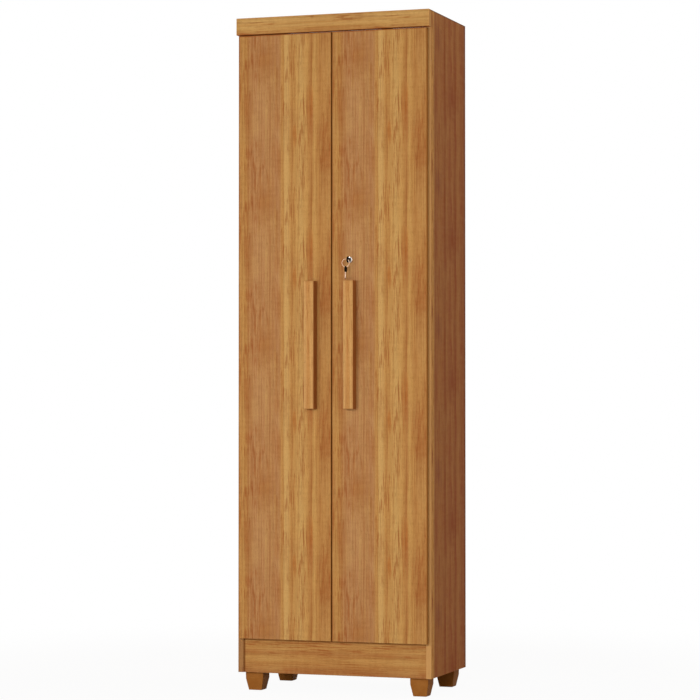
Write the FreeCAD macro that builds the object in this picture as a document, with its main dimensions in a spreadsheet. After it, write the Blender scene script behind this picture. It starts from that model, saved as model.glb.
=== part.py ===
import FreeCAD, Part
import os
import re
import Sketcher

# Tall two-door utility cabinet of faced boards, millimetres, +Z up, doors facing -Y.
# The origin is on the floor, midway across the width and midway from handle fronts to back.

doc = FreeCAD.newDocument("utility_cabinet")
sheet = doc.addObject("Spreadsheet::Sheet", "sizes")

# Driving sizes
sizes = {
    # whole cabinet
    "cabinet_height": 1830,
    "carcass_width": 550,
    "carcass_depth": 325,
    "board": 15,
    "edge_rounding": 0.8,
    "foot_height": 50,
    "cornice_height": 46,
    "cornice_thickness": 18,
    "plinth_height": 95,
    "plinth_recess": 3,
    # shelves
    "shelf_count": 4,
    "fixed_shelf_number": 3,
    "shelf_setback": 20,
    "shelf_end_clearance": 0.3,
    "shelf_back_clearance": 2,
    "pin_radius": 2.5,
    "pin_reach": 8,
    "pin_chamfer": 0.6,
    "pin_setback": 37,
    "pin_hole_step": 32,
    "pin_hole_slack": 1,
    # back sheets and the strip that joins them
    "back_thickness": 3,
    "back_margin": 1.5,
    "strip_wall": 1,
    "strip_lap": 9,
    "strip_end_clearance": 0.5,
    "nail_radius": 0.8,
    "nail_length": 16,
    "nail_head_radius": 2.6,
    "nail_head_thickness": 0.6,
    "nail_inset": 60,
    # fittings that hold the boards
    "cam_radius": 7.5,
    "cam_height": 12,
    "cam_slot_width": 2,
    "cam_slot_depth": 1.5,
    "cam_backset": 24,
    "cam_setback": 40,
    "bolt_radius": 3,
    "bolt_neck_radius": 2,
    "bolt_neck_length": 3,
    "bolt_head_length": 3,
    "bolt_grip": 10,
    "dowel_radius": 4,
    "dowel_length": 30,
    "dowel_grip": 10,
    "bracket_spread": 150,
    "bracket_width": 24,
    "bracket_leg": 20,
    "bracket_wall": 3,
    "bracket_screw_place": 14,
    # screws
    "screw_radius": 1.75,
    "screw_length": 12,
    "screw_head_radius": 3.5,
    "screw_head_height": 2,
    # feet
    "foot_top": 50,
    "foot_bottom": 37,
    "foot_upright": 18,
    "foot_wall": 3,
    "foot_flange_height": 38,
    "foot_wall_lap": 9,
    "foot_screw_place": 32,
    "foot_rounding": 1.2,
    # doors
    "door_thickness": 15,
    "door_gap": 2,
    "door_reveal": 7.5,
    "door_rounding": 1,
    "centre_gap": 3.5,
    "door_top_gap": 3.5,
    "door_lap": 2,
    "bumper_radius": 4,
    "bumper_inset": 14,
    "bumper_clearance": 0.2,
    # handles
    "handle_width": 29,
    "handle_depth": 28,
    "handle_length": 344,
    "handle_height": 766,
    "handle_inset": 41.5,
    "handle_rounding": 3,
    "handle_screw_spacing": 224,
    "handle_screw_reach": 20,
    # cup hinges
    "hinge_inset": 110,
    "cup_radius": 13,
    "cup_wall": 0.6,
    "cup_depth": 11,
    "cup_edge": 3,
    "cup_rim": 1,
    "cup_flange": 0.8,
    "cup_screw_spacing": 38,
    "cup_screw_offset": 6,
    "cup_screw_margin": 5,
    "pivot_inset": 5.6,
    "pivot_depth": 7.5,
    "hinge_pin_radius": 0.9,
    "hinge_pin_length": 13,
    "hinge_pin_clearance": 0.05,
    "knuckle_radius": 1.5,
    "knuckle_width": 5,
    "arm_thickness": 1.4,
    "arm_wall": 1.2,
    "arm_offset": 9.4,
    "arm_drop": 0.85,
    "arm_bend": 1.6,
    "neck_width": 7,
    "arm_width": 14,
    "arm_start": 18,
    "arm_end": 62,
    "arm_clearance": 0.2,
    "plate_start": 22,
    "plate_end": 58,
    "plate_wing": 1.8,
    "plate_wing_length": 16,
    "plate_wing_half": 24,
    "plate_screw_spacing": 32,
    "plate_screw_setback": 37,
    "arm_screw_place": 50,
    "arm_screw_length": 8,
    # slide bolt of the left door
    "slide_inset": 24,
    "slide_travel": 12,
    "slide_radius": 3.5,
    "slide_clearance": 0.1,
    "slide_setback": 9.5,
    "slide_case_width": 15,
    "slide_case_depth": 14,
    "slide_case_height": 44,
    "slide_case_drop": 6,
    "slide_flange_width": 34,
    "slide_flange": 2,
    "slide_lead": 3,
    "slide_foot": 6,
    "slide_knob_radius": 2.5,
    "slide_knob_reach": 5,
    "slide_knob_place": 16,
    "slide_slot_clearance": 0.3,
    "slide_screw_spread": 12,
    "socket_clearance": 0.7,
    "socket_depth": 12,
    # lock of the right door
    "lock_inset": 51.5,
    "bezel_radius": 9.5,
    "bezel_proud": 2,
    "bezel_chamfer": 1.2,
    "barrel_radius": 8,
    "barrel_overhang": 3,
    "plug_radius": 5.5,
    "plug_clearance": 0.06,
    "plug_recess": 0.3,
    "nut_radius": 12,
    "nut_thickness": 2.4,
    "cam_clearance": 0.4,
    "lever_length": 62,
    "lever_width": 14,
    "lever_thickness": 2,
    "drive_width": 7,
    "lever_screw_head": 4,
    "lever_screw_length": 5,
    "strike_width": 24,
    "strike_height": 28,
    "strike_thickness": 1.2,
    "strike_inset": 2,
    # keys and their ring
    "bow_radius": 8.5,
    "bow_thickness": 3.2,
    "bow_rounding": 1,
    "bow_gap": 3,
    "bow_hole_radius": 2.3,
    "bow_hole_edge": 3.5,
    "blade_length": 18,
    "blade_width": 6.6,
    "blade_thickness": 2,
    "blade_tang": 7,
    "blade_clearance": 0.2,
    "keyway_slack": 1,
    "tooth_depth": 1.4,
    "ring_radius": 10.5,
    "ring_wire": 0.8,
    "ring_clearance": 0.3,
    "ring_aside": 4.8,
    "key_handle_gap": 3.5,
    # how far a cutting shape runs past what it cuts
    "overrun": 2,
}

# Corners nearer than this count as the same
SAME_PLACE = 1e-4

# Sizes and places worked out from the driving sizes
derived = {
    "carcass_half": "carcass_width / 2",
    "inner_half": "carcass_half - board",
    "front": "(handle_depth + door_thickness + door_gap - carcass_depth) / 2",
    "rear": "front + carcass_depth",
    "board_rear": "rear - strip_wall - back_thickness",
    "door_back": "front - door_gap",
    "door_front": "door_back - door_thickness",
    "cornice_bottom": "cabinet_height - cornice_height",
    "top_under": "cornice_bottom - board",
    "base_under": "foot_height + plinth_height",
    "base_top": "base_under + board",
    "bay_height": "(top_under - base_top - shelf_count * board) / (shelf_count + 1)",
    "shelf_pitch": "bay_height + board",
    "fixed_under": "base_under + fixed_shelf_number * shelf_pitch",
    "joint_height": "fixed_under - bay_height / 2",
    "shelf_front": "front + shelf_setback",
    "shelf_rear": "board_rear - shelf_back_clearance",
    "plinth_front_face": "front + plinth_recess",
    "plinth_back_face": "plinth_front_face + board",
    "rail_front_face": "board_rear - board",
    "door_bottom": "base_under - door_lap",
    "door_top": "cornice_bottom - door_top_gap",
    "door_outer": "carcass_half - door_reveal",
    "handle_centre": "handle_inset + handle_width / 2",
    "handle_middle": "handle_height + handle_length / 2",
    "hinge_low": "door_bottom + hinge_inset",
    "hinge_high": "door_top - hinge_inset",
    "hinge_middle": "(door_bottom + door_top) / 2",
    "cup_centre": "cup_edge + cup_radius",
    "side_face": "board - door_reveal",
    "arm_inner": "pivot_inset + arm_offset",
    "arm_outer": "arm_inner + arm_thickness",
    "plate_screw_place": "door_gap + plate_screw_setback",
    "wing_top": "side_face + plate_wing",
    "slide_top": "top_under - slide_case_drop",
    "slide_bottom": "slide_top - slide_case_height",
    "lever_front": "door_thickness + barrel_overhang + cam_clearance",
    "lever_back": "lever_front + lever_thickness",
    "keyway_end": "blade_length - bow_gap - bezel_proud + keyway_slack",
    "ring_seat": "bow_hole_radius - ring_wire - ring_clearance",
    "key_hole_place": "door_front - bezel_proud - bow_gap - 2 * bow_radius + bow_hole_edge",
    "blade_root": "2 * bow_radius - bow_hole_edge",
    "ring_hang": "sqrt(ring_radius ^ 2 - ring_aside ^ 2)",
    "key_drop": "ring_hang + ring_radius + ring_seat + blade_root + blade_length",
    "lock_height": "handle_height + handle_length + key_handle_gap + key_drop",
    "ring_place": "lock_inset - ring_aside",
    "ring_centre": "lock_height - ring_hang",
    "ring_foot": "ring_centre - ring_radius",
    "bow_centre": "bow_radius - bow_hole_edge",
}


def fill_sheet():
    """Write each size, and each worked-out size as a formula, in a cell with its own alias."""
    row = 0
    for alias, value in list(sizes.items()) + [(k, "=" + f) for k, f in derived.items()]:
        row += 1
        cell = "B%d" % row
        sheet.set("A%d" % row, alias)
        sheet.set(cell, str(value))
        sheet.setAlias(cell, alias)
    doc.recompute()


def linked(formula):
    """Return a formula with each plain name read from its cell of the sheet."""
    return re.sub(r"\b([a-z][a-z_]*)\b", r"sizes.\1", str(formula))


def value(formula):
    """Return the number that a formula gives now."""
    return float(sheet.evalExpression(linked(formula)))


def bind(thing, **formulas):
    """Bind each named property of a document object to its formula."""
    for name, formula in formulas.items():
        thing.setExpression(name, linked(formula))


TURNS = {
    "x": FreeCAD.Rotation(FreeCAD.Vector(0, 1, 0), 90),
    "-x": FreeCAD.Rotation(FreeCAD.Vector(0, 1, 0), -90),
    "y": FreeCAD.Rotation(FreeCAD.Vector(1, 0, 0), -90),
    "-y": FreeCAD.Rotation(FreeCAD.Vector(1, 0, 0), 90),
    "z": FreeCAD.Rotation(),
    "-z": FreeCAD.Rotation(FreeCAD.Vector(1, 0, 0), 180),
}


def quarter_turns(count):
    """A turn of so many right angles about the upright axis."""
    return FreeCAD.Rotation(FreeCAD.Vector(0, 0, 1), 90 * count)


# How a fastener drawn along +Y is turned to point another way
AIM = {"-x": quarter_turns(1), "-y": quarter_turns(2), "x": quarter_turns(3)}
INWARD = {-1: AIM["x"], 1: AIM["-x"]}
SIDES = {-1: "left", 1: "right"}


def place(thing, at, turn=None):
    """Put a document object at a point of three formulas, turned as given."""
    if turn is not None:
        thing.Placement = FreeCAD.Placement(FreeCAD.Vector(), turn)
    for axis, formula in zip("xyz", at):
        thing.setExpression("Placement.Base." + axis, linked(formula))
    return thing


def box(label, low, high):
    """Make a block between two corners, each of three formulas."""
    block = doc.addObject("Part::Box", label)
    names = ("Length", "Width", "Height")
    bind(block, **{n: "(%s) - (%s)" % (b, a) for n, a, b in zip(names, low, high)})
    return place(block, low)


def cylinder(label, radius, length, at=(0, 0, 0), along="z"):
    """Make a cylinder from the middle of its first end, along one axis."""
    rod = doc.addObject("Part::Cylinder", label)
    bind(rod, Radius=radius, Height=length)
    return place(rod, at, TURNS[along])


def fuse(label, pieces):
    """Join touching or crossing pieces as one."""
    joined = doc.addObject("Part::MultiFuse", label)
    joined.Shapes = pieces
    joined.Refine = True
    return joined


def cut(label, base, tool):
    """Cut a tool, or several, out of a base."""
    result = doc.addObject("Part::Cut", label)
    result.Base = base
    result.Tool = fuse(label + "_tools", tool) if isinstance(tool, list) else tool
    result.Refine = True
    return result


def group(label, pieces):
    """Keep separate pieces together under one name."""
    held = doc.addObject("Part::Compound", label)
    held.Links = pieces
    return held


def copy_at(label, master, at, turn=None):
    """Place one more copy of a master piece."""
    copy = doc.addObject("App::Link", label)
    copy.LinkedObject = master
    copy.LinkTransform = True
    return place(copy, at, turn)


def sketch_on(body, plane_role, label, offset=None):
    """Start a sketch on one of a body's own planes, or at an offset from it."""
    plane = [item for item in body.Origin.OriginFeatures if item.Role == plane_role][0]
    sketch = body.newObject("Sketcher::SketchObject", label)
    sketch.AttachmentSupport = [(plane, "")]
    sketch.MapMode = "FlatFace"
    if offset is not None:
        sketch.setExpression("AttachmentOffset.Base.z", linked(offset))
    return sketch


def draw_outline(sketch, points):
    """Draw a closed outline whose corners are held at pairs of formulas."""
    corners = [FreeCAD.Vector(value(x), value(y), 0) for x, y in points]
    count = len(corners)
    for first, corner in enumerate(corners):
        sketch.addGeometry(Part.LineSegment(corner, corners[(first + 1) % count]), False)
    for first in range(count):
        after = (first + 1) % count
        sketch.addConstraint(Sketcher.Constraint("Coincident", first, 2, after, 1))
    for first, (x, y) in enumerate(points):
        for kind, formula, now in (("DistanceX", x, corners[first].x), ("DistanceY", y, corners[first].y)):
            held = sketch.addConstraint(Sketcher.Constraint(kind, -1, 1, first, 1, now))
            sketch.setExpression("Constraints[%d]" % held, linked(formula))


def padded_outline(label, plane_role, points, length, midplane=True):
    """Make a body from one outline, padded to both sides of its plane or to one."""
    body = doc.addObject("PartDesign::Body", label)
    sketch = sketch_on(body, plane_role, label + "_outline")
    draw_outline(sketch, points)
    pad = body.newObject("PartDesign::Pad", label + "_pad")
    pad.Profile = sketch
    pad.Midplane = midplane
    bind(pad, Length=length)
    return body, pad


def every_edge(edge):
    """A test that picks any edge."""
    return True


def on_front(edge):
    """A test that picks the edges round the front face of a board."""
    return all(abs(corner.Y) < SAME_PLACE for corner in edge.Vertexes)


def upright_at(x, y):
    """A test that picks the upright edge at a place of two formulas."""
    spot = FreeCAD.Vector(value(x), value(y), 0)
    return lambda edge: all(spot.isEqual(FreeCAD.Vector(v.X, v.Y, 0), SAME_PLACE) for v in edge.Vertexes)


def round_edges(body, feature, radius, wanted=every_edge):
    """Round those edges of a body's last feature that a test picks."""
    doc.recompute()
    names = ["Edge%d" % (n + 1) for n, edge in enumerate(feature.Shape.Edges) if wanted(edge)]
    fillet = body.newObject("PartDesign::Fillet", body.Name + "_rounding")
    fillet.Base = (feature, names)
    bind(fillet, Radius=radius)


def rounded_board(label, low, high, rounding, wanted=every_edge):
    """Make a board between two corners, with all its edges eased or those that a test picks."""
    width, depth, height = ["(%s) - (%s)" % (b, a) for a, b in zip(low, high)]
    corners = [(0, 0), (width, 0), (width, depth), (0, depth)]
    body, pad = padded_outline(label, "XY_Plane", corners, height, midplane=False)
    round_edges(body, pad, rounding, wanted)
    return place(body, low)


def turned_body(label, points):
    """Make a body by turning one outline about the Y axis."""
    body = doc.addObject("PartDesign::Body", label)
    sketch = sketch_on(body, "XY_Plane", label + "_outline")
    draw_outline(sketch, points)
    turned = body.newObject("PartDesign::Revolution", label + "_turned")
    turned.Profile = sketch
    turned.ReferenceAxis = (sketch, ["V_Axis"])
    return body


fill_sheet()
nodes = []


def node(thing, name):
    """Name a finished piece; its name is its file's name."""
    thing.Label = name
    nodes.append(thing)
    return thing


def headed_screw(label, length):
    """A pan-head screw whose head lies on the -Y side of its seat."""
    shank = cylinder(label + "_shank", "screw_radius", length, along="y")
    head = cylinder(label + "_head", "screw_head_radius", "screw_head_height", along="-y")
    return fuse(label, [shank, head])


# Fasteners: one master of each kind, its axis along +Y and its seat at the origin
short_screw = headed_screw("short_screw", "screw_length")

nail_shank = cylinder("nail_shank", "nail_radius", "nail_length", along="-y")
nail_head = cylinder("nail_head", "nail_head_radius", "nail_head_thickness", along="y")
nail = fuse("nail", [nail_shank, nail_head])

dowel = cylinder("dowel", "dowel_radius", "dowel_length", along="y")

# The connecting bolt screws into the side and its head ends at the cam's middle
bolt = turned_body("bolt", [
    (0, "-bolt_grip"),
    ("bolt_radius", "-bolt_grip"),
    ("bolt_radius", "cam_backset - bolt_head_length - bolt_neck_length"),
    ("bolt_neck_radius", "cam_backset - bolt_head_length - bolt_neck_length"),
    ("bolt_neck_radius", "cam_backset - bolt_head_length"),
    ("bolt_radius", "cam_backset - bolt_head_length"),
    ("bolt_radius", "cam_backset"),
    (0, "cam_backset"),
])

# The shelf pin: half in the side, half out, with an eased end
shelf_pin = turned_body("shelf_pin", [
    (0, "-pin_reach"),
    ("pin_radius", "-pin_reach"),
    ("pin_radius", "pin_reach - pin_chamfer"),
    ("pin_radius - pin_chamfer", "pin_reach"),
    (0, "pin_reach"),
])

def at_side(side, formula):
    """A place as far to the left or to the right of the middle as a formula says."""
    return "(%d) * (%s)" % (side, formula)


# Cams, connecting bolts and dowels in the boards that tie the sides together
side_middle = "carcass_half - board / 2"
tie_boards = {"base": "base_under", "fixed_shelf": "fixed_under", "top": "top_under"}
cam_disc = cylinder("cam_disc", "cam_radius", "cam_height")
slot_half = "cam_radius - cam_slot_depth"
cam_slot = box(
    "cam_slot", ("-cam_slot_width / 2", "-(%s)" % slot_half, "-overrun"),
    ("cam_slot_width / 2", slot_half, "cam_slot_depth"),
)
cam = cut("cam", cam_disc, cam_slot)
cams, bores, bolts, dowels = [], [], [], []
for side in SIDES:
    for name, under in tie_boards.items():
        middle = under + " + board / 2"
        for row, y in (("front", "front + cam_setback"), ("rear", "board_rear - cam_setback")):
            label = "%s_%s_%s" % (name, row, SIDES[side])
            cam_x = at_side(side, "inner_half - cam_backset")
            face, turn = ("cornice_bottom", TURNS["-z"]) if name == "top" else (under, TURNS["z"])
            cams.append(copy_at("cam_" + label, cam, (cam_x, y, face), turn))
            bores.append(copy_at("cam_bore_" + label, cam_disc, (cam_x, y, face), turn))
            bolt_seat = (at_side(side, "inner_half"), y, middle)
            bolts.append(copy_at("bolt_" + label, bolt, bolt_seat, INWARD[side]))
        dowel_start = (at_side(side, "inner_half + dowel_grip"), "(front + board_rear) / 2", middle)
        dowels.append(copy_at("dowel_%s_%s" % (name, SIDES[side]), dowel, dowel_start, INWARD[side]))
    for name, y in (("plinth", "plinth_front_face + board / 2"), ("rail", "rail_front_face + board / 2")):
        start = (at_side(side, "inner_half + dowel_grip"), y, "foot_height + plinth_height / 2")
        dowels.append(copy_at("dowel_%s_%s" % (name, SIDES[side]), dowel, start, INWARD[side]))
    start = (at_side(side, side_middle), "front - dowel_grip", "cornice_bottom + cornice_height / 2")
    dowels.append(copy_at("dowel_cornice_" + SIDES[side], dowel, start))

bolt_group = node(group("connecting_bolts", bolts), "connecting_bolts")
dowel_group = node(group("dowels", dowels), "dowels")
cam_bores = group("cam_bores", bores)
cam_group = node(cut("cam_fittings", group("cam_blanks", cams), bolt_group), "cam_fittings")

# Shelf pins under the adjustable shelves, and spare holes a step above and below
adjustable = [n for n in range(1, sizes["shelf_count"] + 1) if n != sizes["fixed_shelf_number"]]
pins, spare_holes = [], []
for side in SIDES:
    for number in adjustable:
        under = "base_under + %d * shelf_pitch" % number
        for row, y in (("front", "front + pin_setback"), ("rear", "board_rear - pin_setback")):
            label = "%d_%s_%s" % (number, row, SIDES[side])
            pin_z = under + " - pin_radius"
            pin_seat = (at_side(side, "inner_half"), y, pin_z)
            pins.append(copy_at("pin_" + label, shelf_pin, pin_seat, INWARD[side]))
            for step in (-1, 1):
                hole_z = "%s + (%d) * pin_hole_step" % (pin_z, step)
                start = (at_side(side, "inner_half - overrun"), y, hole_z)
                depth = "pin_reach + pin_hole_slack + overrun"
                along = "x" if side > 0 else "-x"
                spare_holes.append(cylinder("hole_%s_%d" % (label, step), "pin_radius", depth, start, along))
pin_group = node(group("shelf_pins", pins), "shelf_pins")

# Nails through the back sheets into the rear edges of the boards
nails = []
nail_shares = (0, 1 / 3, 2 / 3, 1)
sheets = {
    "lower": ("foot_height", "joint_height"),
    "upper": ("joint_height", "cornice_bottom"),
}
for side in SIDES:
    for name, (low, high) in sheets.items():
        for number, share in enumerate(nail_shares):
            span = "((%s) - (%s) - 2 * nail_inset)" % (high, low)
            z = "%s + nail_inset + %s * %.6f" % (low, span, share)
            at = (at_side(side, side_middle), "board_rear + back_thickness", z)
            nails.append(copy_at("nail_%s_%s_%d" % (name, SIDES[side], number), nail, at))
for name, under in tie_boards.items():
    for column in (-1, 0, 1):
        at = ("(%d) * inner_half / 2" % column, "board_rear + back_thickness", under + " + board / 2")
        nails.append(copy_at("nail_%s_%d" % (name, column), nail, at))
nail_group = node(group("back_nails", nails), "back_nails")


def foot_master():
    """One hollow moulded foot, its corner on the Z axis, with two walls that rise behind the boards."""
    body = doc.addObject("PartDesign::Body", "foot_block")
    inset = "(foot_top - foot_bottom) / 2"
    far = "(foot_top + foot_bottom) / 2"
    ground = sketch_on(body, "XY_Plane", "foot_ground")
    draw_outline(ground, [(inset, inset), (far, inset), (far, far), (inset, far)])
    square = [(0, 0), ("foot_top", 0), ("foot_top", "foot_top"), (0, "foot_top")]
    waist = sketch_on(body, "XY_Plane", "foot_waist", "foot_height - foot_upright")
    draw_outline(waist, square)
    taper = body.newObject("PartDesign::AdditiveLoft", "foot_taper")
    taper.Profile = ground
    taper.Sections = [waist]
    taper.Ruled = True
    crown = sketch_on(body, "XY_Plane", "foot_crown", "foot_height - foot_upright")
    draw_outline(crown, square)
    upright = body.newObject("PartDesign::Pad", "foot_upright_pad")
    upright.Profile = crown
    bind(upright, Length="foot_upright")
    round_edges(body, upright, "foot_rounding")
    top = "foot_height + foot_flange_height"
    wall_x = box("foot_wall_x", (0, 0, "foot_height - foot_wall_lap"), ("foot_wall", "foot_top", top))
    wall_y = box("foot_wall_y", (0, 0, "foot_height - foot_wall_lap"), ("foot_top", "foot_wall", top))
    near = inset + " + foot_wall"
    away = far + " - foot_wall"
    hollow = box("foot_hollow", (near, near, "foot_wall"), (away, away, "foot_height + overrun"))
    return cut("foot_master", fuse("foot_outside", [body, wall_x, wall_y]), hollow)


# A foot in each corner, its walls screwed to the side and to the plinth or rail
foot = foot_master()
corners = {
    "front_left": ("-inner_half", "plinth_back_face", quarter_turns(0)),
    "front_right": ("inner_half", "plinth_back_face", quarter_turns(1)),
    "rear_right": ("inner_half", "rail_front_face", quarter_turns(2)),
    "rear_left": ("-inner_half", "rail_front_face", quarter_turns(3)),
}
screw_height = "foot_height + foot_flange_height / 2"
foot_pair = group("foot_pair", [
    copy_at("foot_screw_x", short_screw, ("foot_wall", "foot_screw_place", screw_height), AIM["-x"]),
    copy_at("foot_screw_y", short_screw, ("foot_screw_place", "foot_wall", screw_height), AIM["-y"]),
])
foot_screws = group("foot_screws", [
    copy_at("foot_pair_" + name, foot_pair, (x, y, 0), turn) for name, (x, y, turn) in corners.items()
])
node(foot_screws, "foot_screws")
drilled_foot = cut("drilled_foot", foot, foot_pair)
for name, (x, y, turn) in corners.items():
    node(copy_at("foot_" + name, drilled_foot, (x, y, 0), turn), "foot_" + name)

# Brackets that hold the cornice to the top board, in the tray above it
bracket_body, bracket_pad = padded_outline("bracket_shape", "YZ_Plane", [
    (0, 0),
    ("bracket_leg", 0),
    ("bracket_leg", "bracket_wall"),
    ("2 * bracket_wall", "bracket_wall"),
    ("bracket_wall", "2 * bracket_wall"),
    ("bracket_wall", "bracket_leg"),
    (0, "bracket_leg"),
], "bracket_width")
bracket_pair = group("bracket_pair", [
    copy_at("bracket_screw_y", short_screw, (0, "bracket_wall", "bracket_screw_place"), AIM["-y"]),
    copy_at("bracket_screw_z", short_screw, (0, "bracket_screw_place", "bracket_wall"), TURNS["-y"]),
])
drilled_bracket = cut("drilled_bracket", bracket_body, bracket_pair)
bracket_places = [(at_side(side, "bracket_spread"), "front", "cornice_bottom") for side in SIDES]
bracket_group = node(group("cornice_brackets", [
    copy_at("bracket_%d" % n, drilled_bracket, at) for n, at in enumerate(bracket_places)
]), "cornice_brackets")
bracket_screws = node(group("cornice_bracket_screws", [
    copy_at("bracket_pair_%d" % n, bracket_pair, at) for n, at in enumerate(bracket_places)
]), "cornice_bracket_screws")

# Cup hinges, drawn at the left door's outer back edge, and turned half over for the right door
HALF_OVER = FreeCAD.Rotation(FreeCAD.Vector(0, 1, 0), 180)
HINGE_TURN = {-1: FreeCAD.Rotation(), 1: HALF_OVER}
hinge_heights = ("hinge_low", "hinge_middle", "hinge_high")

pin_start = ("pivot_inset", "-pivot_depth", "-hinge_pin_length / 2")
hinge_pin = cylinder("hinge_pin", "hinge_pin_radius", "hinge_pin_length", pin_start)

cup_screw_x = "cup_centre + cup_screw_offset"
cup_screw_pair = group("cup_screw_pair", [
    copy_at(
        "cup_screw_%d" % end, short_screw, (cup_screw_x, "cup_flange", "%d * cup_screw_spacing / 2" % end),
        AIM["-y"],
    )
    for end in (-1, 1)
])
plate_screw_pair = group("plate_screw_pair", [
    copy_at(
        "plate_screw_%d" % end, short_screw,
        ("wing_top", "plate_screw_place", "%d * plate_screw_spacing / 2" % end), AIM["-x"],
    )
    for end in (-1, 1)
])
stub_screw = headed_screw("stub_screw", "arm_screw_length")
arm_screw = copy_at("arm_screw", stub_screw, ("arm_outer", "arm_screw_place", 0), AIM["-x"])
cup_bore = cylinder("cup_bore", "cup_radius", "cup_depth + overrun", ("cup_centre", "-cup_depth", 0), "y")


def cup_master():
    """The pressed steel cup in the door, with its rim, its two ears and the pin's seats."""
    plug = cylinder("cup_plug", "cup_radius", "cup_depth + cup_flange", ("cup_centre", "-cup_depth", 0), "y")
    rim = cylinder("cup_rim_disc", "cup_radius + cup_rim", "cup_flange", ("cup_centre", 0, 0), "y")
    reach = "cup_screw_spacing / 2 + cup_screw_margin"
    ears = box(
        "cup_ears",
        (cup_screw_x + " - cup_screw_margin", 0, "-(%s)" % reach),
        (cup_screw_x + " + cup_screw_margin", "cup_flange", reach),
    )
    inside = cylinder(
        "cup_inside", "cup_radius - cup_wall", "cup_depth - cup_wall + overrun",
        ("cup_centre", "cup_wall - cup_depth", 0), "y",
    )
    return cut("cup_master", fuse("cup_outside", [plug, rim, ears]), [inside, hinge_pin, cup_screw_pair])


def arm_master():
    """The hinge arm: knuckle on the pin, bent neck out of the cup, channel over the plate."""
    low = "-pivot_depth - arm_drop"
    half = "arm_thickness / 2"
    neck, pad = padded_outline("arm_neck", "XY_Plane", [
        ("pivot_inset", "-pivot_depth + " + half),
        ("arm_inner", "%s + %s" % (low, half)),
        ("arm_inner", "arm_end"),
        ("arm_outer", "arm_end"),
        ("arm_outer", "%s - %s" % (low, half)),
        ("pivot_inset", "-pivot_depth - " + half),
    ], "neck_width")
    round_edges(neck, pad, "arm_bend", upright_at("arm_outer", "%s - %s" % (low, half)))
    knuckle_foot = ("pivot_inset", "-pivot_depth", "-knuckle_width / 2")
    knuckle = cylinder("arm_knuckle", "knuckle_radius", "knuckle_width", knuckle_foot)
    skirt = "wing_top + arm_clearance"
    channel = box(
        "arm_channel", (skirt, "arm_start", "-arm_width / 2"), ("arm_outer", "arm_end", "arm_width / 2"),
    )
    hollow = box(
        "arm_hollow",
        (skirt + " - overrun", "arm_start - overrun", "arm_wall - arm_width / 2"),
        ("arm_inner", "arm_end + overrun", "arm_width / 2 - arm_wall"),
    )
    bore = cylinder(
        "arm_bore", "hinge_pin_radius + hinge_pin_clearance", "neck_width + 2 * overrun",
        ("pivot_inset", "-pivot_depth", "-neck_width / 2 - overrun"),
    )
    folded = cut("arm_folded", channel, hollow)
    return cut("arm_master", fuse("arm_outside", [neck, knuckle, folded]), [bore, arm_screw])


def plate_master():
    """The mounting plate on the side's inner face: a block under the arm and two wings."""
    inner = "arm_width / 2 - arm_wall - arm_clearance"
    block = box(
        "plate_block", ("side_face", "plate_start", "-(%s)" % inner), ("arm_inner", "plate_end", inner),
    )
    wings = box(
        "plate_wings",
        ("side_face", "plate_screw_place - plate_wing_length / 2", "-plate_wing_half"),
        ("wing_top", "plate_screw_place + plate_wing_length / 2", "plate_wing_half"),
    )
    return cut("plate_master", fuse("plate_outside", [block, wings]), [plate_screw_pair, arm_screw])


hinge_cup = cup_master()
hinge_arm = arm_master()
hinge_plate = plate_master()


def hinge_set(label, master, side):
    """The copies of one hinge piece at the three hinges of one door."""
    origin = (at_side(side, "door_outer"), "door_back")
    return group(label, [
        copy_at("%s_%d" % (label, n), master, origin + (height,), HINGE_TURN[side])
        for n, height in enumerate(hinge_heights)
    ])


cup_bores, cup_screws = {}, {}
plate_screws, arm_screws = [], []
for side, word in SIDES.items():
    node(hinge_set("hinge_cups_" + word, hinge_cup, side), "hinge_cups_" + word)
    node(hinge_set("hinge_pins_" + word, hinge_pin, side), "hinge_pins_" + word)
    node(hinge_set("hinge_arms_" + word, hinge_arm, side), "hinge_arms_" + word)
    node(hinge_set("hinge_plates_" + word, hinge_plate, side), "hinge_plates_" + word)
    screws = hinge_set("hinge_cup_screws_" + word, cup_screw_pair, side)
    cup_screws[side] = node(screws, "hinge_cup_screws_" + word)
    cup_bores[side] = hinge_set("cup_bores_" + word, cup_bore, side)
    plate_screws.append(hinge_set("plate_screws_" + word, plate_screw_pair, side))
    arm_screws.append(hinge_set("arm_screws_" + word, arm_screw, side))
plate_screw_group = node(group("hinge_plate_screws", plate_screws), "hinge_plate_screws")
node(group("hinge_arm_screws", arm_screws), "hinge_arm_screws")

# Boards of the carcass, each drilled for the fasteners that enter it
socket = cylinder(
    "bolt_socket", "slide_radius + socket_clearance", "socket_depth + overrun",
    ("-slide_inset", "door_back + slide_setback", "top_under - overrun"),
)
drilling = fuse("carcass_drilling", [
    cam_bores, bolt_group, dowel_group, pin_group, nail_group, foot_screws, plate_screw_group,
    bracket_screws, socket,
] + spare_holes)

for side, word in SIDES.items():
    outer = at_side(side, "carcass_half")
    inner = at_side(side, "inner_half")
    low_x, high_x = (outer, inner) if side < 0 else (inner, outer)
    blank = rounded_board(
        "side_blank_" + word, (low_x, "front", "foot_height"), (high_x, "board_rear", "cabinet_height"),
        "edge_rounding",
    )
    node(cut("side_panel_" + word, blank, drilling), "side_panel_" + word)


def between_sides(label, y_low, y_high, z_low, z_high, drilled=True):
    """A board from side to side."""
    blank = box(label + "_blank", ("-inner_half", y_low, z_low), ("inner_half", y_high, z_high))
    return node(cut(label, blank, drilling) if drilled else blank, label)


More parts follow.
